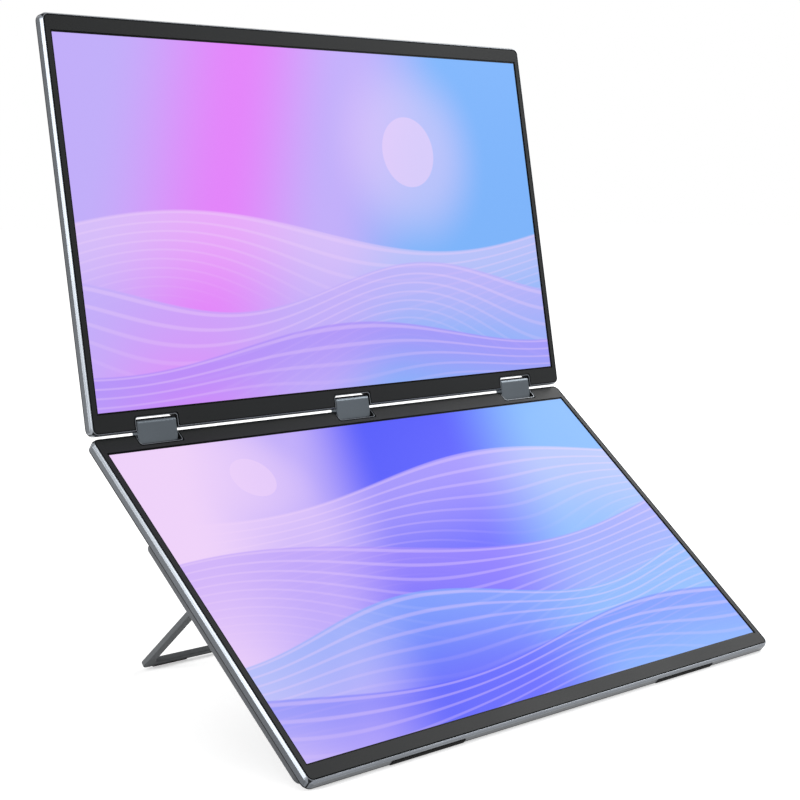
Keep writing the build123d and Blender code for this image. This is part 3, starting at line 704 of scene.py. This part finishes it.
def softbox(name, place, aim, width, height, radiance):
    """A rectangular lamp of an even brightness, aimed at a point."""
    lamp = bpy.data.lights.new(name, "AREA")
    lamp.shape = "RECTANGLE"
    lamp.size = width
    lamp.size_y = height
    lamp.energy = radiance * math.pi * width * height
    lamp_object = bpy.data.objects.new(name, lamp)
    bpy.context.scene.collection.objects.link(lamp_object)
    lamp_object.location = place
    lamp_object.rotation_euler = (Vector(aim) - Vector(place)).to_track_quat("-Z", "Y").to_euler()


class MONITOR_OT_stage(bpy.types.Operator):
    """Set up the floor, the studio light and the camera"""
    bl_idname = "monitor.stage"
    bl_label = "Stage"

    def execute(self, context):
        scene = context.scene
        studio = scene.monitor_studio
        self.floor(scene, studio)
        self.world(scene, studio)
        softbox("left softbox", place=(-1.80, 0.08, 0.78), aim=(-0.21, 0.0, 0.22),
                width=1.00, height=1.00, radiance=6.4)
        softbox("right softbox", place=(1.87, -0.34, 1.32), aim=(0.0, 0.0, 0.20),
                width=2.60, height=0.70, radiance=6.8)
        self.camera(scene, studio)
        scene.view_settings.view_transform = "Standard"
        return {"FINISHED"}

    def floor(self, scene, studio):
        bm = bmesh.new()
        bmesh.ops.create_grid(bm, x_segments=1, y_segments=1, size=studio.floor_half,
                              matrix=Matrix.Translation((0.0, 0.0, -studio.floor_drop)))
        data = bpy.data.meshes.new("floor")
        bm.to_mesh(data)
        bm.free()
        floor = bpy.data.objects.new("floor", data)
        scene.collection.objects.link(floor)
        material = bpy.data.materials.new("floor paper")
        material.use_nodes = True
        tree = material.node_tree
        shader = tree.nodes["Principled BSDF"]
        shader.inputs["Base Color"].default_value = (0.86, 0.86, 0.86, 1.0)
        shader.inputs["Roughness"].default_value = 0.9
        shader.inputs["Specular IOR Level"].default_value = 0.0
        shader.inputs["Emission Color"].default_value = (1.0, 1.0, 1.0, 1.0)
        away = tree.nodes.new("ShaderNodeVectorMath")
        away.operation = "LENGTH"
        tree.links.new(tree.nodes.new("ShaderNodeTexCoord").outputs["Object"], away.inputs[0])
        # The paper's own brightness rises away from the monitor, where the lamps light it less
        paper = tree.nodes.new("ShaderNodeMapRange")
        paper.inputs["From Min"].default_value = 0.5
        paper.inputs["From Max"].default_value = 3.5
        paper.inputs["To Min"].default_value = 0.5
        paper.inputs["To Max"].default_value = 0.7
        tree.links.new(away.outputs["Value"], paper.inputs["Value"])
        level = tree.nodes.new("ShaderNodeMath")
        level.operation = "MULTIPLY"
        tree.links.new(seen_directly(tree), level.inputs[0])
        tree.links.new(paper.outputs["Result"], level.inputs[1])
        tree.links.new(level.outputs[0], shader.inputs["Emission Strength"])
        data.materials.append(material)

    def world(self, scene, studio):
        world = bpy.data.worlds.new("studio")
        scene.world = world
        world.use_nodes = True
        tree = world.node_tree
        backdrop = tree.nodes["Background"]
        backdrop.inputs["Color"].default_value = (1.0, 1.0, 1.0, 1.0)
        level = tree.nodes.new("ShaderNodeMapRange")
        level.inputs["To Min"].default_value = studio.fill
        level.inputs["To Max"].default_value = 1.0
        tree.links.new(seen_directly(tree), level.inputs["Value"])
        tree.links.new(level.outputs["Result"], backdrop.inputs["Strength"])

    def camera(self, scene, studio):
        data = bpy.data.cameras.new("photograph")
        data.lens = studio.lens
        data.sensor_width = 36.0
        data.clip_end = 100.0
        camera = bpy.data.objects.new("photograph", data)
        scene.collection.objects.link(camera)
        camera.location = studio.eye
        turn = Euler((math.pi / 2 + studio.pitch, 0.0, -studio.heading)).to_matrix()
        camera.rotation_euler = (turn @ Matrix.Rotation(studio.roll, 3, "Z")).to_euler()
        scene.camera = camera


class MONITOR_PT_looks(bpy.types.Panel):
    """The monitor's pieces, finishes and studio"""
    bl_label = "Stacked Monitor"
    bl_space_type = "VIEW_3D"
    bl_region_type = "UI"
    bl_category = "Monitor"

    def draw(self, context):
        layout = self.layout
        for operator in OPERATORS:
            layout.operator(operator.bl_idname)
        for name in SETTINGS:
            group = getattr(context.scene, name)
            column = layout.column(align=True)
            for key in group.bl_rna.properties.keys():
                if key not in {"rna_type", "name"}:
                    column.prop(group, key)


SETTINGS = {
    "monitor_finish": MonitorFinish,
    "monitor_edges": MonitorEdges,
    "monitor_screen": MonitorScreen,
    "monitor_hardware": MonitorHardware,
    "monitor_studio": MonitorStudio,
}
OPERATORS = (
    MONITOR_OT_shells,
    MONITOR_OT_bezels,
    MONITOR_OT_displays,
    MONITOR_OT_hinges,
    MONITOR_OT_housing,
    MONITOR_OT_screws,
    MONITOR_OT_sockets,
    MONITOR_OT_kickstand,
    MONITOR_OT_stage,
)


def register():
    for cls in (*SETTINGS.values(), *OPERATORS, MONITOR_PT_looks):
        bpy.utils.register_class(cls)
    for name, group in SETTINGS.items():
        setattr(bpy.types.Scene, name, PointerProperty(type=group))


def unregister():
    for name in SETTINGS:
        delattr(bpy.types.Scene, name)
    for cls in reversed((*SETTINGS.values(), *OPERATORS, MONITOR_PT_looks)):
        bpy.utils.unregister_class(cls)


def main():
    register()
    bpy.ops.monitor.shells()
    bpy.ops.monitor.bezels()
    bpy.ops.monitor.displays()
    bpy.ops.monitor.hinges()
    bpy.ops.monitor.housing()
    bpy.ops.monitor.screws()
    bpy.ops.monitor.sockets()
    bpy.ops.monitor.kickstand()
    bpy.ops.monitor.stage()


if __name__ == "__main__":
    main()
